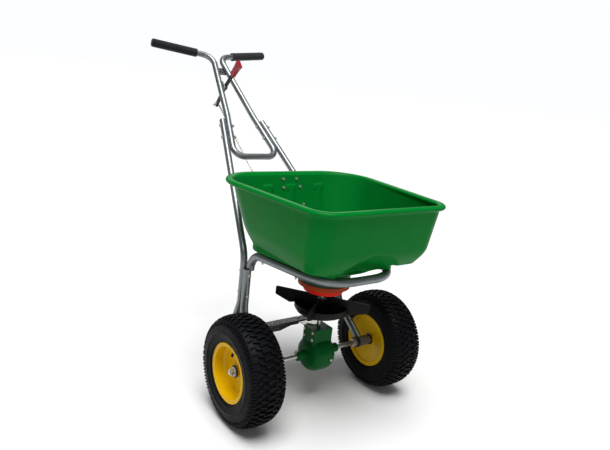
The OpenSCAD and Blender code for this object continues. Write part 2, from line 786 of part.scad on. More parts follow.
// Crown gear: its teeth stand on the face towards the impeller shaft
module crown_gear() {
    half_tooth = 90 / gear_teeth * crown_tooth_share;
    r_in = gear_pitch_r - 6.5;
    r_out = gear_pitch_r + 5.5;
    root = pinion_r + tooth_in;
    color("goldenrod") place() difference() {
        union() {
            bar_x(root, root + 7, 0, axle_z, r_out);
            bar_x(root, root + 20, 0, axle_z, 14);
            translate([gear_x, 0, axle_z]) rotate([0, 90, 0]) for (i = [0:gear_teeth - 1])
                rotate([0, 0, (i + 0.5) * 360 / gear_teeth]) linear_extrude(root - gear_x + 0.5) polygon([
                    [r_in, -r_in * tan(half_tooth)], [r_out - 0.2, -r_out * tan(half_tooth)],
                    [r_out - 0.2, r_out * tan(half_tooth)], [r_in, r_in * tan(half_tooth)]
                ]);
        }
        bar_x(0, 60, 0, axle_z, axle_r + eps);
        translate([gear_pin_x, 0, axle_z - 20]) cylinder(h = 40, r = 2.05);
    }
}
module gear_pin() {
    color("gray") place() translate([gear_pin_x, 0, axle_z - 13]) cylinder(h = 26, r = 2);
}

// Pinion on the impeller shaft, with a tooth pointing at the crown gear
pinion_foot = axle_z + gear_pitch_r - 5;
pinion_top = axle_z + gear_pitch_r + 7;
module pinion() {
    color("goldenrod") place() difference() {
        translate([0, 0, pinion_foot]) union() {
            cylinder(h = pinion_top - pinion_foot, r = pinion_r - tooth_in - 0.2);
            for (i = [0:pinion_teeth - 1]) rotate([0, 0, i * 360 / pinion_teeth])
                translate([pinion_r - tooth_in - 0.6, -pinion_tooth_w / 2, 0])
                    cube([tooth_in + tooth_out + 0.3, pinion_tooth_w, pinion_top - pinion_foot]);
        }
        translate([0, 0, axle_z]) cylinder(h = 80, r = shaft_r + eps);
    }
}

// Zinc collars and spacers that keep the axle in place
module axle_collars() {
    color("silver") place() for (s = [-1, 1]) mirror([s < 0 ? 1 : 0, 0, 0]) difference() {
        union() {
            bar_x(sleeve_in - 20, sleeve_in - 9.5, 0, axle_z, 13);
            bar_x(sleeve_out + 0.5, hub_in - 3.5, 0, axle_z, 12);
        }
        bar_x(150, 240, 0, axle_z, axle_r + eps);
    }
}
module cotter_pins() {
    color("gray") place() translate([cotter_x, 0, axle_z]) {
        translate([0, 0, -13]) cylinder(h = 26, r = 1.5);
        translate([0, 0, 17]) rotate([90, 0, 0]) rotate_extrude() translate([4.2, 0]) circle(r = 1.4);
    }
}
module drive_pin() {
    color("gray") place() translate([drive_pin_x, 0, axle_z - 21]) cylinder(h = 42, r = 2.5);
}

// Wheel profiles: radius against distance outboard of the wheel's middle
hub_r = 17;
hub_bore = 13;
barrel_r = 80;
sheet = 2.5;
flange_s = 48;
dish = [
    [barrel_r - 1, 24], [barrel_r - 1, 20], [70, 12], [32, 11], [hub_r - 1, 15], [hub_r - 1, 19], [32, 15], [69, 16]
];
inner_dish = [
    [barrel_r - 1, -42], [barrel_r - 1, -45.5], [70, -43], [26, -29.5],
    [hub_r - 1, -29], [hub_r - 1, -25], [27, -26], [70, -39.5]
];
function bead(t) = [tyre_d / 2 - 41 + 40 * t, tyre_w / 2 - 14 * t * t];
function crown(a) = [tyre_d / 2 - 41 + 41 * pow(sin(a), 2 / 2.6), tyre_w / 2 * pow(abs(cos(a)), 2 / 2.6)];
tyre_side = concat([[barrel_r + 0.1, 47.3], [89.4, 47.3], [90, 50.6]],
    [for (i = [6:-1:1]) bead(-i / 8)], [for (i = [0:10]) crown(9 * i)]);
tyre_skin = 7;
module on_wheel(s) {
    place() mirror([s < 0 ? 1 : 0, 0, 0]) translate([wheel_x, 0, axle_z]) rotate([0, 90, 0]) children();
}
module valve_hole(r) {
    rod([-barrel_r - 4, 0, 25.186], [-60, 0, 34.271], r);
}
// Rim with a dished disc on each side. The hub of either wheel is drilled for the drive pin.
module wheel_rim(s) {
    on_wheel(s) difference() {
        union() {
            rotate_extrude() translate([barrel_r - sheet, -flange_s - sheet])
                square([sheet, 2 * (flange_s + sheet)]);
            for (m = [0, 1]) mirror([0, 0, m]) translate([0, 0, flange_s]) rotate_extrude() {
                translate([barrel_r - sheet, 0]) square([rim_d / 2 - barrel_r, sheet]);
                translate([rim_d / 2 - sheet, sheet - 0.4]) circle(r = sheet);
            }
            rotate_extrude() polygon(dish);
            rotate_extrude() polygon(inner_dish);
            translate([0, 0, -hub_half]) cylinder(h = hub_half + 25, r = hub_r);
        }
        translate([0, 0, -hub_half - 1]) cylinder(h = hub_half + 30, r = hub_bore);
        valve_hole(4.7);
        translate([0, 0, -5]) rotate([0, 90, 0]) cylinder(h = 60, r = 2.55, center = true);
    }
}
module wheel_rim_left() {
    color("gold") wheel_rim(-1);
}
module wheel_rim_right() {
    color("gold") wheel_rim(1);
}

// Pneumatic tyre, hollow, seated on the barrel of the rim
module tyre(s) {
    inner = [for (p = tyre_side) [min(p[0], tyre_d / 2 - tyre_skin - 2), max(0, p[1] - tyre_skin)]];
    on_wheel(s) rotate_extrude() difference() {
        polygon(concat(tyre_side, [for (i = [len(tyre_side) - 1:-1:0]) [tyre_side[i][0], -tyre_side[i][1]]]));
        polygon(concat([[barrel_r - 5, inner[0][1]]], inner,
            [for (i = [len(inner) - 1:-1:0]) [inner[i][0], -inner[i][1]]], [[barrel_r - 5, -inner[0][1]]]));
    }
}
module tyre_left() {
    color("black") tyre(-1);
}
module tyre_right() {
    color("black") tyre(1);
}

// Snap-in tyre valve
module valve(s) {
    on_wheel(s) {
        rod([-barrel_r, 0, 26.7], [-66, 0, 32], 4.5);
        rod([-68, 0, 31.243], [-59, 0, 34.65], 3.4);
    }
}
module valve_left() {
    color("black") valve(-1);
}
module valve_right() {
    color("black") valve(1);
}

// Flanged bushings in both ends of a hub
module hub_bushings(s) {
    on_wheel(s) difference() {
        union() {
            translate([0, 0, 25]) cylinder(h = 3, r = hub_r + 1.5);
            translate([0, 0, 5]) cylinder(h = 20, r = hub_bore);
            translate([0, 0, -hub_half - 3]) cylinder(h = 3, r = hub_r + 1.5);
            translate([0, 0, -hub_half]) cylinder(h = 20, r = hub_bore);
        }
        translate([0, 0, -60]) cylinder(h = 120, r = axle_r + run_gap);
    }
}
module hub_bushings_left() {
    color("dimgray") hub_bushings(-1);
}
module hub_bushings_right() {
    color("dimgray") hub_bushings(1);
}

// Washer and nut on the threaded end of the axle
module wheel_nut(s) {
    place() mirror([s < 0 ? 1 : 0, 0, 0]) translate([axle_end, 0, axle_z]) {
        rotate([0, 90, 0]) difference() {
            cylinder(h = 2.5, r = 14);
            translate([0, 0, -1]) cylinder(h = 5, r = thread_r + eps);
        }
        translate([2.5, 0, 0]) nut_x(19, 10, thread_r + eps);
    }
}
module wheel_nut_left() {
    color("silver") wheel_nut(-1);
}
module wheel_nut_right() {
    color("silver") wheel_nut(1);
}

// Upright shaft from the pinion to the agitator in the throat
shaft_foot = axle_z + 29;
shaft_top = 466;
agitator_z = 448;
impeller_pin_z = 341;
module impeller_shaft() {
    color("silver") place() difference() {
        translate([0, 0, shaft_foot]) cylinder(h = shaft_top - shaft_foot, r = shaft_r);
        bar_x(-20, 20, 0, agitator_z, 3.05);
        bar_x(-20, 20, 0, impeller_pin_z, 2.05);
    }
}

// Impeller: a shallow bowl on a hub, with flat blades that stand out past the bowl
module impeller() {
    t = 3;
    color("black") place() difference() {
        union() {
            rotate_extrude() polygon([
                [shaft_r + 1, bowl_z], [60, bowl_z], [76, bowl_z + 8], [bowl_r, bowl_z + 20], [bowl_r, bowl_top],
                [bowl_r - t, bowl_top], [bowl_r - t, bowl_z + 21], [75, bowl_z + 11], [59, bowl_z + t],
                [shaft_r + 1, bowl_z + t]
            ]);
            translate([0, 0, bowl_z]) cylinder(h = 50, r = 15);
            for (i = [0:blades - 1]) rotate([0, 0, blade_angle + 360 * i / blades]) translate([0, blade_t / 2, 0])
                rotate([90, 0, 0]) linear_extrude(blade_t) polygon([
                    [14, bowl_z + 1], [60, bowl_z + 1], [76, bowl_z + 9], [bowl_r - 1, bowl_z + 20], [103, 315],
                    [impeller_r - 3, 332], [impeller_r, 335], [impeller_r, blade_top - 3], [impeller_r - 3, blade_top],
                    [30, blade_top], [14, bowl_z + 46]
                ]);
        }
        translate([0, 0, bowl_z - 1]) cylinder(h = 80, r = shaft_r + eps);
        bar_x(-20, 20, 0, impeller_pin_z, 2.05);
    }
}
module impeller_pin() {
    color("gray") place() bar_x(-14, 14, 0, impeller_pin_z, 2);
}

// Bar through the top of the shaft that keeps the granules moving
module agitator() {
    reach = 44;
    color("gray") place() {
        bar_x(-reach, reach, 0, agitator_z, 3);
        for (m = [-1, 1]) translate([m * reach, 0, agitator_z - 3.6]) cylinder(h = 26, r = 3.6);
    }
}

// Flat link with round ends, from a to b in the plane across the machine
module link(a, b, w, t) {
    d = b - a;
    translate([-t / 2, a[0], a[1]]) rotate([atan2(d[1], d[0]), 0, 0]) rotate([0, 90, 0]) rotate([0, 0, 90])
        linear_extrude(t) polygon(concat(arc(0, 0, w / 2, 90, 270, 12), arc(norm(d), 0, w / 2, -90, 90, 12)));
}

// Control lever: a flat bar on a pivot, with a flared grip above and the rod's pin below
pivot_at = [pivot_y, pivot_z];
pin_at = [rod_pin_y, rod_pin_z];
tip_at = [lever_tip_y, lever_tip_z];
lever_len = norm(tip_at - pivot_at);
grip_from = 72;
module lever_bar() {
    color("black") place() difference() {
        translate([lever_x, 0, 0]) union() {
            link(pivot_at, pin_at, lever_w, lever_t);
            link(pivot_at, pivot_at + (tip_at - pivot_at) * (lever_len - 16) / lever_len, lever_w - 1, lever_t);
            bar_x(-lever_boss_t / 2, lever_boss_t / 2, pivot_y, pivot_z, 12);
        }
        bar_x(-60, 60, pivot_y, pivot_z, 4.08);
        bar_x(-60, 60, rod_pin_y, rod_pin_z, rod_r + 0.08);
    }
}
module lever_grip() {
    d = tip_at - pivot_at;
    color("crimson") place() difference() {
        translate([lever_x - 7, pivot_y, pivot_z]) rotate([atan2(d[1], d[0]), 0, 0])
            rotate([0, 90, 0]) rotate([0, 0, 90])
            linear_extrude(14) polygon([
                [grip_from, -10], [grip_from + 22, -10.5], [grip_from + 44, -12], [lever_len - 4, -15.5], [lever_len, -14],
                [lever_len + 1, 14], [lever_len - 4, 15.5], [grip_from + 44, 12], [grip_from + 22, 10.5], [grip_from, 10]
            ]);
        translate([lever_x, 0, 0])
            link(pivot_at, pivot_at + d * (lever_len - 16) / lever_len, lever_w - 1 + 0.02, lever_t + 0.02);
    }
}

// Shouldered bolt that the lever turns on, with its spacer and nut
module lever_pivot() {
    near = lever_x - lever_boss_t / 2 - 0.4;
    far = lever_x + lever_boss_t / 2 + 0.4;
    color("silver") place() translate([0, pivot_y, pivot_z]) {
        bar_x(bracket_x - 3, far + 8, 0, 0, 4);
        bar_x(bracket_x - 4.2, bracket_x - 0.1, 0, 0, 5.5);
        bar_x(bracket_x + bracket_t + 0.1, near, 0, 0, 5.5);
        translate([far, 0, 0]) nut_x(13, 6, 3.5);
    }
}

// Rod from the lever down to the shut-off slide, hooked at both ends
clip_x = lever_x - 8;
module control_rod() {
    color("silver") place() difference() {
        bar_path([[rod_x + 13, rod_foot[0], rod_foot[1]], [rod_x, rod_foot[0], rod_foot[1]],
            [rod_x, rod_pin_y, rod_pin_z], [clip_x - 5, rod_pin_y, rod_pin_z]], [0, 6, 6, 0], rod_r);
        rod([clip_x, rod_pin_y - 10, rod_pin_z + 6], [clip_x, rod_pin_y + 10, rod_pin_z - 6], 1.05);
    }
}

// Hairpin clip through the end of the rod
module rod_clip() {
    a = [clip_x, rod_pin_y - 16, rod_pin_z + 9.6];
    b = [clip_x, rod_pin_y + 12, rod_pin_z - 7.2];
    color("gray") place() {
        bar_path([b, a, a + [-8, 0, 0], b + [-7, -9, 5.4]], [0, 3, 3, 0], 1);
    }
}

frame_hoop();
bearing_sleeve_left();
bearing_sleeve_right();
sleeve_bushing_left();
sleeve_bushing_right();
crossbar();
gearbox_hanger();
hanger_bolts();
lower_handle_left();
lower_handle_right();
rear_stand_left();
rear_stand_right();
upper_handle();
grip_left();
grip_right();
handle_bolts();
handle_nuts();
leg_bolts();
leg_nuts();
handle_tie();
lever_bracket();
hopper();
hopper_throat();
throat_screws();
hopper_screws();
gauge_bolts();
gauge_plate();
outlet_collar();
port_ring();
gearbox_left();
gearbox_right();
gearbox_screws();
grease_plug();
axle();
crown_gear();
gear_pin();
axle_collars();
cotter_pins();
drive_pin();
wheel_rim_left();
tyre_left();
valve_left();
hub_bushings_left();
wheel_nut_left();
wheel_rim_right();
tyre_right();
valve_right();
hub_bushings_right();
wheel_nut_right();
impeller_shaft();
pinion();
impeller();
impeller_pin();
agitator();
lever_bar();
lever_grip();
lever_pivot();
control_rod();
rod_clip();
shutoff_slide();
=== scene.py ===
"""Looks of the garden spreader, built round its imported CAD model."""
import json
import math

import bmesh
import bpy
from mathutils import Matrix, Vector


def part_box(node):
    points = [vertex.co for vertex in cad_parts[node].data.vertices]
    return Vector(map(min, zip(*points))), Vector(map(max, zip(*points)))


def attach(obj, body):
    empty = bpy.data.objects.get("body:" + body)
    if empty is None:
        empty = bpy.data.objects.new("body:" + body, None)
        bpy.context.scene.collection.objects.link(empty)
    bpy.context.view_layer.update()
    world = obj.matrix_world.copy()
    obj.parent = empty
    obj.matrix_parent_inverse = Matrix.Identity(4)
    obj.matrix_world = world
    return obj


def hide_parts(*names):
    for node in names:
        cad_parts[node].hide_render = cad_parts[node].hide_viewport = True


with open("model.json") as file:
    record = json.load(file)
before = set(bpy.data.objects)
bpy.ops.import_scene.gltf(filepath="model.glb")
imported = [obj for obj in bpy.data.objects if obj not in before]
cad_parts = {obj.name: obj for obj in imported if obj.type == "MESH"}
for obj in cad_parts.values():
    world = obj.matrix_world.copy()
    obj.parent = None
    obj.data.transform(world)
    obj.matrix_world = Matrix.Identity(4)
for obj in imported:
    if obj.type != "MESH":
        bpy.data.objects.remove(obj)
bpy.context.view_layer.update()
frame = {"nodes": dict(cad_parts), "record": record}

MM = 0.001


def middle(node):
    """Centre of a CAD node's box."""
    low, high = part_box(node)
    return (low + high) / 2


AXLE = middle("axle")


def at(x, y, z):
    """A point given in millimetres: x and y from the middle of the axle line, z from the ground."""
    return Vector((x * MM, y * MM + AXLE.y, z * MM))


# ---------------------------------------------------------------- camera, light and floor

CAMERA_AT = at(-1091, -1294, 1020)
CAMERA_YAW = math.radians(-37.5)
CAMERA_PITCH = math.radians(14.66)
CAMERA_ROLL = math.radians(6.44)
CAMERA_LENS = 34.2
SENSOR_WIDTH = 36
CLIP_END = 200
SKY_COLOUR = (0.98, 0.99, 1.0)
SKY_SEEN, SKY_CAST = 1.0, 0.2
SUN_STRENGTH = 4.6
SUN_SPREAD = math.radians(38)
SUN_WAY = (0.14, 0.2, -1)
# Name, place and target in metres, size in metres, and power in watts
SOFTBOXES = (
    ("front", (-1.8, -3.6, 1.9), (0, -0.2, 0.55), (1.4, 1.0), 8),
    ("back", (1.8, 2.8, 2.4), (0, 0, 0.6), (2.6, 1.4), 30),
)
FLOOR_R, FLOOR_SIDES = 60, 96
FLOOR_GREY = 0.64


def link(thing):
    bpy.context.scene.collection.objects.link(thing)


def make_camera():
    """Camera at the height, angle and lens that the object is looked at from."""
    yaw, pitch, roll = CAMERA_YAW, CAMERA_PITCH, CAMERA_ROLL
    back = Vector((math.sin(yaw) * math.cos(pitch), -math.cos(yaw) * math.cos(pitch), math.sin(pitch)))
    right = (-back).cross(Vector((0, 0, 1))).normalized()
    up = right.cross(-back)
    turned_right = right * math.cos(roll) + up * math.sin(roll)
    turned_up = up * math.cos(roll) - right * math.sin(roll)
    data = bpy.data.cameras.new("camera")
    data.lens = CAMERA_LENS
    data.sensor_width = SENSOR_WIDTH
    data.clip_end = CLIP_END
    camera = bpy.data.objects.new("camera", data)
    camera.matrix_world = Matrix((
        (turned_right.x, turned_up.x, back.x, CAMERA_AT.x),
        (turned_right.y, turned_up.y, back.y, CAMERA_AT.y),
        (turned_right.z, turned_up.z, back.z, CAMERA_AT.z),
        (0, 0, 0, 1),
    ))
    link(camera)
    bpy.context.scene.camera = camera


def make_softbox(name, place, target, size, watts):
    """Rectangular soft light that faces a target."""
    data = bpy.data.lights.new(name, "AREA")
    data.shape = "RECTANGLE"
    data.size, data.size_y = size
    data.energy = watts
    light = bpy.data.objects.new(name, data)
    light.location = place
    light.rotation_mode = "QUATERNION"
    light.rotation_quaternion = (Vector(target) - Vector(place)).to_track_quat("-Z", "Y")
    link(light)


def make_world():
    """A pale sky, one strength where it is seen and a weaker one where it lights the object."""
    world = bpy.data.worlds.new("studio")
    world.use_nodes = True
    tree = world.node_tree
    background = tree.nodes["Background"]
    background.inputs["Color"].default_value = (*SKY_COLOUR, 1)
    strength = node(tree, "ShaderNodeMapRange", {"To Min": SKY_CAST, "To Max": SKY_SEEN})
    tree.links.new(node(tree, "ShaderNodeLightPath").outputs["Is Camera Ray"], strength.inputs["Value"])
    tree.links.new(strength.outputs["Result"], background.inputs["Strength"])
    bpy.context.scene.world = world


def make_sun():
    data = bpy.data.lights.new("overhead", "SUN")
    data.energy = SUN_STRENGTH
    data.angle = SUN_SPREAD
    sun = bpy.data.objects.new("overhead", data)
    sun.rotation_mode = "QUATERNION"
    sun.rotation_quaternion = Vector(SUN_WAY).to_track_quat("-Z", "Y")
    link(sun)


def make_floor():
    mesh = bpy.data.meshes.new("floor")
    turns = (math.tau * i / FLOOR_SIDES for i in range(FLOOR_SIDES))
    mesh.from_pydata([(FLOOR_R * math.cos(a), FLOOR_R * math.sin(a), 0) for a in turns], [],
                     [list(range(FLOOR_SIDES))])
    floor = bpy.data.objects.new("floor", mesh)
    link(floor)
    mesh.materials.append(surface("studio_floor", (FLOOR_GREY,) * 3, (0.75, 0.85), vary=0.005, specular=0.1))


def make_studio():
    bpy.context.scene.view_settings.view_transform = "Standard"
    make_world()
    make_sun()
    for box in SOFTBOXES:
        make_softbox(*box)
    make_floor()


# ---------------------------------------------------------------- materials

def node(tree, kind, inputs=None, **settings):
    """Adds a shader node, with its settings and the values of its unlinked inputs."""
    made = tree.nodes.new(kind)
    for key, value in settings.items():
        setattr(made, key, value)
    for key, value in (inputs or {}).items():
        made.inputs[key].default_value = value
    return made


def spread(tree, source, low, high, start=0.3, end=0.7):
    """Stretches a 0 to 1 texture between two values."""
    made = node(tree, "ShaderNodeMapRange",
                {"From Min": start, "From Max": end, "To Min": low, "To Max": high})
    tree.links.new(source, made.inputs["Value"])
    return made.outputs["Result"]


def surface(name, colour, rough, metallic=0.0, vary=0.1, mottle=14, grain=900, depth=0.05, coat=0.0,
            specular=0.5, swell=0.0, swell_size=60, sheen=0.0, wear=None):
    """A painted, moulded or metal surface: mottled colour, uneven roughness, a fine grain and a slow swell.

    rough is the lowest and highest roughness. mottle, grain and swell_size are in features per metre,
    depth and swell in millimetres. wear is the colour of scuffs along the edges.
    """
    material = bpy.data.materials.new(name)
    material.use_nodes = True
    tree = material.node_tree
    shader = tree.nodes["Principled BSDF"]
    shader.inputs["Metallic"].default_value = metallic
    shader.inputs["Specular IOR Level"].default_value = specular
    shader.inputs["Coat Weight"].default_value = coat
    shader.inputs["Coat Roughness"].default_value = 0.12
    shader.inputs["Sheen Weight"].default_value = sheen
    where = node(tree, "ShaderNodeTexCoord").outputs["Object"]

    def noise(scale, detail):
        made = node(tree, "ShaderNodeTexNoise", {"Scale": scale, "Detail": detail, "Roughness": 0.6})
        tree.links.new(where, made.inputs["Vector"])
        return made.outputs["Fac"]

    patches = noise(mottle, 6)
    dark = [c * (1 - vary) for c in colour]
    light = [min(1, c * (1 + vary)) for c in colour]
    mix = node(tree, "ShaderNodeMix", data_type="RGBA")
    mix.inputs[6].default_value = (*dark, 1)
    mix.inputs[7].default_value = (*light, 1)
    tree.links.new(spread(tree, patches, 0, 1), mix.inputs[0])
    tint = mix.outputs[2]
    if wear:
        worn = node(tree, "ShaderNodeMix", data_type="RGBA")
        worn.inputs[7].default_value = (*wear, 1)
        tree.links.new(tint, worn.inputs[6])
        edges = node(tree, "ShaderNodeNewGeometry").outputs["Pointiness"]
        scuffs = node(tree, "ShaderNodeMath", operation="MULTIPLY")
        tree.links.new(spread(tree, edges, 0, 1, 0.54, 0.62), scuffs.inputs[0])
        tree.links.new(spread(tree, noise(mottle * 12, 4), 0, 1, 0.5, 0.62), scuffs.inputs[1])
        tree.links.new(scuffs.outputs["Value"], worn.inputs[0])
        tint = worn.outputs[2]
    tree.links.new(tint, shader.inputs["Base Color"])
    tree.links.new(spread(tree, noise(mottle * 3, 5), *rough), shader.inputs["Roughness"])
    fine = node(tree, "ShaderNodeBump", {"Strength": 0.6, "Distance": depth * MM})
    tree.links.new(noise(grain, 3), fine.inputs["Height"])
    if swell:
        slow = node(tree, "ShaderNodeBump", {"Strength": 1.0, "Distance": swell * MM})
        tree.links.new(noise(swell_size, 2), slow.inputs["Height"])
        tree.links.new(slow.outputs["Normal"], fine.inputs["Normal"])
    tree.links.new(fine.outputs["Normal"], shader.inputs["Normal"])
    return material


def make_materials():
    """One material for each of the record's slots, with the slot's name."""
    return {
        "silver_tube": surface("silver_tube", (0.20, 0.215, 0.222), (0.30, 0.42), 0.8, vary=0.08, grain=2400,
                               depth=0.008),
        "grey_steel": surface("grey_steel", (0.12, 0.122, 0.128), (0.38, 0.5), 0.4, vary=0.15, grain=1500,
                              depth=0.015),
        "nylon": surface("nylon", (0.010, 0.010, 0.011), (0.35, 0.5), vary=0.2, grain=1200, depth=0.01,
                         specular=0.35),
        "black_steel": surface("black_steel", (0.016, 0.018, 0.018), (0.3, 0.45), 0.1, vary=0.25,
                               specular=0.2, grain=1400, depth=0.01, wear=(0.16, 0.16, 0.15)),
        "zinc_steel": surface("zinc_steel", (0.42, 0.41, 0.37), (0.22, 0.4), 0.6, vary=0.14, mottle=60,
                              grain=2200, depth=0.008),
        "axle_steel": surface("axle_steel", (0.5, 0.49, 0.47), (0.22, 0.36), 1.0, vary=0.14, mottle=50,
                              grain=1800, depth=0.01),
        "foam_grip": surface("foam_grip", (0.009, 0.010, 0.012), (0.82, 0.95), vary=0.25, grain=1000,
                             depth=0.12, swell=0.3, swell_size=160, sheen=0.2, specular=0.2),
        "green_plastic": surface("green_plastic", (0.0, 0.15, 0.018), (0.28, 0.38), vary=0.05, grain=1500,
                                 depth=0.006, swell=0.1, swell_size=22, specular=0.05),
        "dark_green_plastic": surface("dark_green_plastic", (0.002, 0.022, 0.006), (0.45, 0.6), vary=0.2,
                                      grain=1300, depth=0.01, specular=0.3),
        "gearbox_green": surface("gearbox_green", (0.0, 0.085, 0.014), (0.3, 0.42), vary=0.08, grain=1100,
                                 depth=0.012, specular=0.08),
        "orange_plastic": surface("orange_plastic", (0.32, 0.045, 0.01), (0.45, 0.6), vary=0.1, grain=1200,
                                  depth=0.01, specular=0.1),
        "red_plastic": surface("red_plastic", (0.66, 0.014, 0.003), (0.38, 0.5), vary=0.08, grain=1200,
                               depth=0.01, specular=0.12),
        "gear_steel": surface("gear_steel", (0.2, 0.18, 0.15), (0.3, 0.5), 0.9, vary=0.25, mottle=70,
                              depth=0.02),
        "yellow_steel": surface("yellow_steel", (0.66, 0.39, 0.0), (0.25, 0.36), vary=0.05, grain=1200,
                                depth=0.008, swell=0.05, swell_size=45, specular=0.14),
        "tyre_rubber": surface("tyre_rubber", (0.0035, 0.0038, 0.0048), (0.42, 0.6), vary=0.3, grain=1300,
                               depth=0.03, swell=0.1, swell_size=70, specular=0.08),
        "valve_rubber": surface("valve_rubber", (0.006, 0.006, 0.006), (0.5, 0.65), vary=0.2, depth=0.01,
                                specular=0.3),
        "black_plastic": surface("black_plastic", (0.004, 0.004, 0.005), (0.38, 0.55), vary=0.25, grain=1100,
                                 depth=0.02, specular=0.16),
        "crimson_plastic": surface("crimson_plastic", (0.27, 0.0, 0.012), (0.22, 0.34), vary=0.08, grain=1400,
                                   depth=0.01, coat=0.2),
    }


def paint_cad_nodes():
    """Gives each CAD node the material of its slot in the record."""
    for part in frame["record"]["subparts"]:
        mesh = frame["nodes"][part["node"]].data
        mesh.materials.clear()
        mesh.materials.append(MATERIALS[part["material_slot"]])


# ---------------------------------------------------------------- mesh helpers

def add_piece(name, mesh, body, slot, replaces=()):
    """Puts a mesh in the scene as a piece of the object."""
    mesh.materials.clear()
    mesh.materials.append(MATERIALS[slot])
    piece = bpy.data.objects.new(name, mesh)
    link(piece)
    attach(piece, body)
    if replaces:
        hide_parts(*replaces)
    return piece


def mesh_from(name, bm, smooth_angle=35):
    """Turns a bmesh into a smooth mesh, sharp where faces meet at more than an angle in degrees."""
    bmesh.ops.recalc_face_normals(bm, faces=bm.faces)
    mesh = bpy.data.meshes.new(name)
    bm.to_mesh(mesh)
    bm.free()
    mesh.shade_smooth()
    mesh.set_sharp_from_angle(angle=math.radians(smooth_angle))
    return mesh


def circle(steps):
    """Evenly spaced angles round a full turn."""
    return [math.tau * i / steps for i in range(steps)]


def ring_of(bm, points):
    return [bm.verts.new(p) for p in points]


def skin(bm, rings, closed=True, caps=False):
    """Joins rings of equal length with faces; closed says that the last ring joins the first."""
    count = len(rings[0])
    pairs = list(zip(rings, rings[1:])) + ([(rings[-1], rings[0])] if closed else [])
    for low, high in pairs:
        for i in range(count):
            j = (i + 1) % count
            bm.faces.new((low[i], low[j], high[j], high[i]))
    if caps:
        bm.faces.new(list(reversed(rings[0])))
        bm.faces.new(rings[-1])


def lathe(bm, profile, place, steps):
    """Turns a closed profile of (radius, distance along the axis) into a ring. place gives the point for a
    radius, an angle and a distance along the axis."""
    skin(bm, [ring_of(bm, [place(r, a, s) for r, s in profile]) for a in circle(steps)])


# ---------------------------------------------------------------- hopper

# Lengths are in millimetres.
# Outlines: height, front and rear half width, front and rear y, front and rear corner radius
RIM_OUTER = (690, 246.5, 274.5, -252.5, 279.5, 68, 142)
WALL_TOP = (690, 233, 254, -240, 256, 58, 118)
WALL_KNEE = (548, 221, 219, -219, 213, 52, 110)
WALL_FOOT = (510, 198, 198, -194, 188, 45, 95)
PLINTH_Z = 486.3
PLINTH = (PLINTH_Z, 155, 193, -189, 163, 115, 57)
FUNNEL_TOP = (PLINTH_Z, 128, 158, -158, 120, 98, 60)
SPIGOT_R, SPIGOT_TOP, SPIGOT_FOOT = 75, 446, 425
WALL = 4
LAP = 0.5
RIM_HALF_W, RIM_HALF_H, RIM_SIDES = 12, 8.5, 16
CORNER_STEPS, DISC_SIDES = 22, 64
# The fold at the knee starts at this share of the way to the foot and to the top
KNEE_LOW, KNEE_HIGH = 0.6, 0.12
KNEE_STEPS, WALL_STEPS = 8, 16
# How far the inside goes on past the top, as a share of the wall from knee to top
MOUTH_RISE = 0.12
ARCH_R, ARCH_TOP, ARCH_Y = 254, 568, -226
ARCH_TILT = math.radians(40)
ARCH_FROM, ARCH_END, ARCH_SIDES = -300, -80, 180
RIB_X = (-80, 10, 123)
# Half width, foot and top of a rib's stem and of its head
RIB_PARTS = ((11, 550, 650), (16.5, 642, 658))
RIB_DEPTHS = (-3.5, 2)
# The tub is remade from voxels of this size in metres, smoothed, and thinned to this share of its faces
VOXEL, SMOOTHING, SMOOTHING_ROUNDS, KEPT_SHARE = 0.0022, 0.5, 9, 0.3


def arc(cx, cy, r, start, end, steps):
    turn = (start + (end - start) * i / steps for i in range(steps + 1))
    return [(cx + r * math.cos(a), cy + r * math.sin(a)) for a in turn]


def outline(o):
    """Points round a hopper outline: four rounded corners joined by straight sides."""
    _, front_half, rear_half, front_y, rear_y, front_r, rear_r = o
    front_centre = (front_half - front_r, front_y + front_r)
    rear_centre = (rear_half - rear_r, rear_y - rear_r)
    dx, dy = rear_centre[0] - front_centre[0], rear_centre[1] - front_centre[1]
    side = math.atan2(dy, dx) - math.acos((front_r - rear_r) / math.hypot(dx, dy))
    edge = arc(*front_centre, front_r, -math.pi / 2, side, CORNER_STEPS)
    edge += arc(*rear_centre, rear_r, side, math.pi / 2, CORNER_STEPS)
    return edge + [(-x, y) for x, y in reversed(edge)]


def inset(o, t):
    """An outline moved inwards by t."""
    return (o[0], o[1] - t, o[2] - t, o[3] + t, o[4] - t, o[5] - t, o[6] - t)


def raised(o, rise):
    return (o[0] + rise, *o[1:])


def hull(bm, *levels):
    """Convex solid round flat rings, each a list of (x, y) points and a height."""
    points = [bm.verts.new(at(x, y, z)) for ring, z in levels for x, y in ring]
    made = bmesh.ops.convex_hull(bm, input=points)
    inside = [v for v in made["geom_interior"] if isinstance(v, bmesh.types.BMVert)]
    bmesh.ops.delete(bm, geom=inside, context="VERTS")


def loft(bm, *levels):
    """Ruled solid through hopper outlines, from the lowest to the highest."""
    rings = [ring_of(bm, [at(x, y, level[0]) for x, y in outline(level)]) for level in levels]
    skin(bm, rings, closed=False, caps=True)


def blend(a, b, t):
    return tuple(x + (y - x) * t for x, y in zip(a, b))


def wall_levels(foot, knee, top):
    """Outlines up a wall, with the fold at the knee rounded off."""
    low, high = blend(knee, foot, KNEE_LOW), blend(knee, top, KNEE_HIGH)
    shares = [i / KNEE_STEPS for i in range(KNEE_STEPS + 1)]
    fold = [blend(blend(low, knee, t), blend(knee, high, t), t) for t in shares]
    return [foot, *fold, *(blend(high, top, i / WALL_STEPS) for i in range(1, WALL_STEPS + 1))]


def disc(r):
    last = DISC_SIDES - 1
    return arc(0, 0, r, 0, math.tau * last / DISC_SIDES, last)


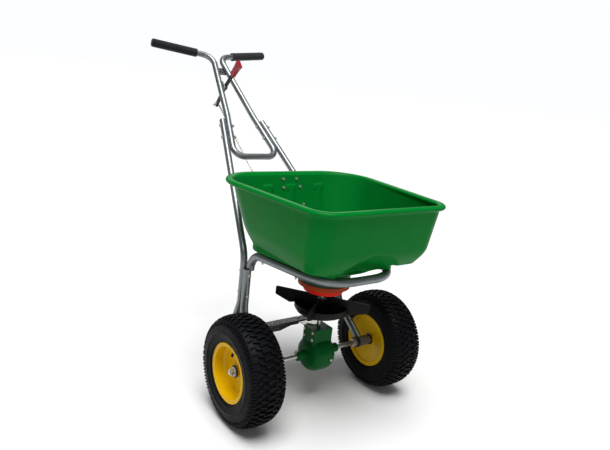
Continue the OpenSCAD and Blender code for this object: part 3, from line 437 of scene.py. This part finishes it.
def tub_outside(bm):
    loft(bm, *wall_levels(WALL_FOOT, WALL_KNEE, WALL_TOP))
    loft(bm, PLINTH, raised(PLINTH, WALL_FOOT[0] - PLINTH_Z + LAP))
    hull(bm, (outline(FUNNEL_TOP), PLINTH_Z + 1), (disc(SPIGOT_R), SPIGOT_TOP))
    hull(bm, (disc(SPIGOT_R), SPIGOT_TOP + 1), (disc(SPIGOT_R), SPIGOT_FOOT))


def tub_inside(bm):
    mouth = tuple(top + (top - knee) * MOUTH_RISE for top, knee in zip(WALL_TOP, WALL_KNEE))
    floor_edge = raised(inset(FUNNEL_TOP, WALL - 2), WALL)
    pan = raised(inset(PLINTH, WALL), WALL)
    loft(bm, *wall_levels(raised(inset(WALL_FOOT, WALL), WALL), inset(WALL_KNEE, WALL), inset(mouth, WALL)))
    loft(bm, pan, raised(pan, WALL_FOOT[0] - PLINTH_Z + LAP))
    hull(bm, (outline(floor_edge), floor_edge[0] + 1), (disc(SPIGOT_R - WALL), SPIGOT_TOP))
    hull(bm, (disc(SPIGOT_R - WALL), SPIGOT_TOP + 1), (disc(SPIGOT_R - WALL), SPIGOT_FOOT - 2))


def arch(bm, grow):
    """Round tunnel that rises to the front under the front wall, grown by a thickness."""
    along = Vector((0, math.cos(ARCH_TILT), -math.sin(ARCH_TILT)))
    over = Vector((0, math.sin(ARCH_TILT), math.cos(ARCH_TILT)))
    middle_z = ARCH_TOP - ARCH_R / math.cos(ARCH_TILT)
    rings = []
    for s in (ARCH_FROM, ARCH_END + grow):
        centre = Vector((0, ARCH_Y, middle_z)) + along * s
        spots = [centre + (Vector((1, 0, 0)) * math.cos(a) + over * math.sin(a)) * (ARCH_R + grow)
                 for a in circle(ARCH_SIDES)]
        rings.append(ring_of(bm, [at(*p) for p in spots]))
    skin(bm, rings, closed=False, caps=True)


def solid(name, maker):
    """A working object, whose mesh a maker function fills."""
    bm = bmesh.new()
    maker(bm)
    body = bpy.data.objects.new(name, mesh_from(name, bm))
    link(body)
    return body


def shaped(body):
    """The mesh of an object with its modifiers applied."""
    bpy.context.view_layer.update()
    return bpy.data.meshes.new_from_object(body.evaluated_get(bpy.context.evaluated_depsgraph_get()))


def minus(body, tool):
    """Cuts one working object out of another."""
    cut = body.modifiers.new("cut", "BOOLEAN")
    cut.operation, cut.solver, cut.use_self, cut.object = "DIFFERENCE", "EXACT", True, tool
    mesh = shaped(body)
    body.modifiers.clear()
    body.data = mesh
    return body


def rim_bead(bm):
    """The rolled rim: an oval bead that stands out past the wall."""
    path = outline(inset(RIM_OUTER, RIM_HALF_W))
    rings = []
    for i, (x, y) in enumerate(path):
        before, after = Vector(path[i - 1]), Vector(path[(i + 1) % len(path)])
        way = (after - before).normalized()
        out = Vector((way.y, -way.x))
        section = [(RIM_HALF_W * math.cos(a), RIM_HALF_H * math.sin(a)) for a in circle(RIM_SIDES)]
        rings.append(ring_of(bm, [at(x + out.x * w, y + out.y * w, RIM_OUTER[0] + h) for w, h in section]))
    skin(bm, rings)


def wall_ribs(bm):
    """Shallow upright ribs with wider heads inside the rear wall."""
    lean = (WALL_TOP[4] - WALL_KNEE[4]) / (WALL_TOP[0] - WALL_KNEE[0])
    for x in RIB_X:
        for half, low, high in RIB_PARTS:
            corners = []
            for z in (low, high):
                back = WALL_KNEE[4] - WALL + lean * (z - WALL_KNEE[0])
                corners += [at(x + m * half, back + depth, z) for m in (-1, 1) for depth in RIB_DEPTHS]
            bmesh.ops.convex_hull(bm, input=[bm.verts.new(p) for p in corners])


def make_tub():
    """The hopper's tub in one skin, with its rim and ribs blended in."""
    outside = minus(solid("outside", tub_outside), solid("tunnel", lambda bm: arch(bm, 0)))
    inside = minus(solid("inside", tub_inside), solid("tunnel_wall", lambda bm: arch(bm, WALL)))
    shell = minus(outside, inside)
    bm = bmesh.new()
    bm.from_mesh(shell.data)
    rim_bead(bm)
    wall_ribs(bm)
    bm.to_mesh(shell.data)
    bm.free()
    remesh = shell.modifiers.new("voxels", "REMESH")
    remesh.mode, remesh.voxel_size = "VOXEL", VOXEL
    smooth = shell.modifiers.new("soften", "SMOOTH")
    smooth.factor, smooth.iterations = SMOOTHING, SMOOTHING_ROUNDS
    thin = shell.modifiers.new("thin", "DECIMATE")
    thin.ratio = KEPT_SHARE
    mesh = shaped(shell)
    mesh.name = "tub"
    mesh.shade_smooth()
    for name in ("outside", "tunnel", "inside", "tunnel_wall"):
        bpy.data.objects.remove(bpy.data.objects[name])
    add_piece("tub", mesh, "frame", "green_plastic", ["hopper"])


# ---------------------------------------------------------------- tyres

TYRE_R, TYRE_HALF = 165, 60
TYRE_MIDDLE_R = TYRE_R - 41
CROWN_POWER = 2 / 2.6
CARCASS_STEPS = 144
CROWN_START, CROWN_STEPS = 0.05, 14
TREAD_DEPTH, SHOULDER_INSET = 7.5, 2.5
# Radius and distance from the wheel's middle, from the bead seat up the sidewall to the crown
SIDEWALL = [
    (80.2, 40), (80.2, 47.6), (89.2, 47.6), (90.2, 50.8), (94, 52), (97, 54.2), (98, 55.6), (100, 55.4),
    (103, 55.9), (109, 57.6), (113, 58.2), (114.2, 59.5), (116.5, 59.5), (118, 58.8),
]
PITCHES = 48
# Tread blocks: how far their tops lie inside the outer section, in radius and across the wheel, and the
# thickness of a top as a share of its foot's
LUG_DROP, LUG_SHRINK, LUG_TAPER = 0.3, 0.2, 0.80
# How far their feet lie inside the carcass, in radius and across the wheel
LUG_SINK, LUG_SIDE_SINK = 1.2, 1
# Share of the way to the next station by which the top of a block's end leans in
LUG_END_LEAN = 0.12
# Middle rows: where each lies round the crown in degrees, and how far in degrees a block's ends are turned
# from its middle
ROWS = (58, 74.5, 90, 105.5, 122)
ROW_TILT = 1.1
# Along a block: degrees from its middle, share of the tilt, and half thickness
BLOCK = ((-9.2, -1, 3.4), (-3, -0.2, 4.0), (3, 0.2, 4.0), (9.2, 1, 3.4))
# Shoulder bars: where they start on the sidewall and where all end, in degrees round the crown
BAR_FEET, BAR_END = (17, 27), 44
TREAD_EDGE = 0.0006


def crown(angle, drop=0.0, shrink=0.0):
    """Point of the tyre's outer section: 0 is one sidewall, pi / 2 the middle of the tread, pi the other."""
    c, s = math.cos(angle), math.sin(angle)
    return (TYRE_MIDDLE_R + (TYRE_R - TYRE_MIDDLE_R - drop) * s ** CROWN_POWER,
            math.copysign((TYRE_HALF - shrink) * abs(c) ** CROWN_POWER, c))


def lug(bm, place, stations):
    """A tread block along stations of (crown angle and turn in degrees, half thickness)."""
    rings = []
    for k, (a, turn, thick) in enumerate(stations):
        a, turn = math.radians(a), math.radians(turn)
        base_r, base_s = crown(a, TREAD_DEPTH + LUG_SINK, SHOULDER_INSET + LUG_SIDE_SINK)
        top_r, top_s = crown(a, LUG_DROP, LUG_SHRINK)
        wide = thick / TYRE_R
        slim = wide * LUG_TAPER
        if k in (0, len(stations) - 1):
            nearer = math.radians(stations[1][0] if k == 0 else stations[-2][0])
            top_r, top_s = crown(a + (nearer - a) * LUG_END_LEAN, LUG_DROP, LUG_SHRINK)
        rings.append(ring_of(bm, [place(base_r, turn - wide, base_s), place(top_r, turn - slim, top_s),
                                  place(top_r, turn + slim, top_s), place(base_r, turn + wide, base_s)]))
    skin(bm, rings, closed=False, caps=True)


def make_tyre(side, wheel, body):
    """Turf tyre: a carcass with moulded sidewalls, and a tread of staggered blocks and shoulder bars."""
    low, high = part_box(f"tyre_{wheel}")
    hub = (low + high) / 2

    def place(r, angle, s):
        return Vector((hub.x + side * s * MM, hub.y + r * MM * math.cos(angle),
                       hub.z + r * MM * math.sin(angle)))

    angles = [CROWN_START + (math.pi / 2 - CROWN_START) * i / CROWN_STEPS for i in range(CROWN_STEPS)]
    half = SIDEWALL + [crown(a, TREAD_DEPTH, SHOULDER_INSET) for a in angles]
    middle_point = crown(math.pi / 2, TREAD_DEPTH)
    bm = bmesh.new()
    lathe(bm, half + [middle_point] + [(r, -s) for r, s in reversed(half)], place, CARCASS_STEPS)
    add_piece(f"carcass_{wheel}", mesh_from("carcass", bm, 60), body, "tyre_rubber", [f"tyre_{wheel}"])

    bm = bmesh.new()
    pitch = 360 / PITCHES
    for i in range(PITCHES):
        turn = i * pitch
        for row, row_a in enumerate(ROWS):
            offset, tilt = (pitch / 2, ROW_TILT) if row % 2 else (0, -ROW_TILT)
            lug(bm, place, [(row_a + da, turn + offset + share * tilt, thick) for da, share, thick in BLOCK])
        for mirror in (False, True):
            for foot, shift in zip(BAR_FEET, (0, pitch / 2)):
                bar = [(foot, shift + 0.5, 3.4), ((foot + BAR_END) / 2, shift + 0.2, 3.9),
                       (BAR_END, shift - 0.4, 4.1)]
                lug(bm, place, [(180 - a if mirror else a, turn + t + (pitch / 4 if mirror else 0), thick)
                                for a, t, thick in bar])
    tread = add_piece(f"tread_{wheel}", mesh_from("tread", bm, 25), body, "tyre_rubber")
    rounding = tread.modifiers.new("edges", "BEVEL")
    rounding.width, rounding.segments, rounding.limit_method = TREAD_EDGE, 1, "ANGLE"
    rounding.angle_limit = math.radians(40)


# Valve cap: its start lies this far in from the outer end of the valve's box and above its foot
CAP_IN, CAP_UP = 2.6, 4
# The way it points: outwards, and down from the top of the rim
CAP_WAY = (0.37, -0.93)
CAP_SIDES = 20
# Distance along it and radius
CAP_PROFILE = ((-2, 4.1), (0, 4.3), (9, 4.0), (12, 3.6), (13, 2.2))


def make_valve_cap(side, wheel, body):
    """Dust cap on the tip of a valve."""
    low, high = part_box(f"valve_{wheel}")
    outer_x = low.x if side < 0 else high.x
    tip = Vector((outer_x - side * CAP_IN * MM, (low.y + high.y) / 2, low.z + CAP_UP * MM))
    along = Vector((side * CAP_WAY[0], 0, CAP_WAY[1])).normalized()
    across, aside = along.cross(Vector((0, 1, 0))), Vector((0, 1, 0))
    bm = bmesh.new()
    rings = []
    for reach, r in CAP_PROFILE:
        spots = [along * reach + across * (r * math.cos(a)) + aside * (r * math.sin(a))
                 for a in circle(CAP_SIDES)]
        rings.append(ring_of(bm, [tip + spot * MM for spot in spots]))
    skin(bm, rings, closed=False, caps=True)
    add_piece(f"valve_cap_{wheel}", mesh_from("cap", bm), body, "valve_rubber")


MATERIALS = make_materials()
make_camera()
make_studio()
paint_cad_nodes()
make_tub()
WHEELS = ((-1, "left", "drive_axle"), (1, "right", "free_wheel"))
for wheel_facts in WHEELS:
    make_tyre(*wheel_facts)
for wheel_facts in WHEELS:
    make_valve_cap(*wheel_facts)
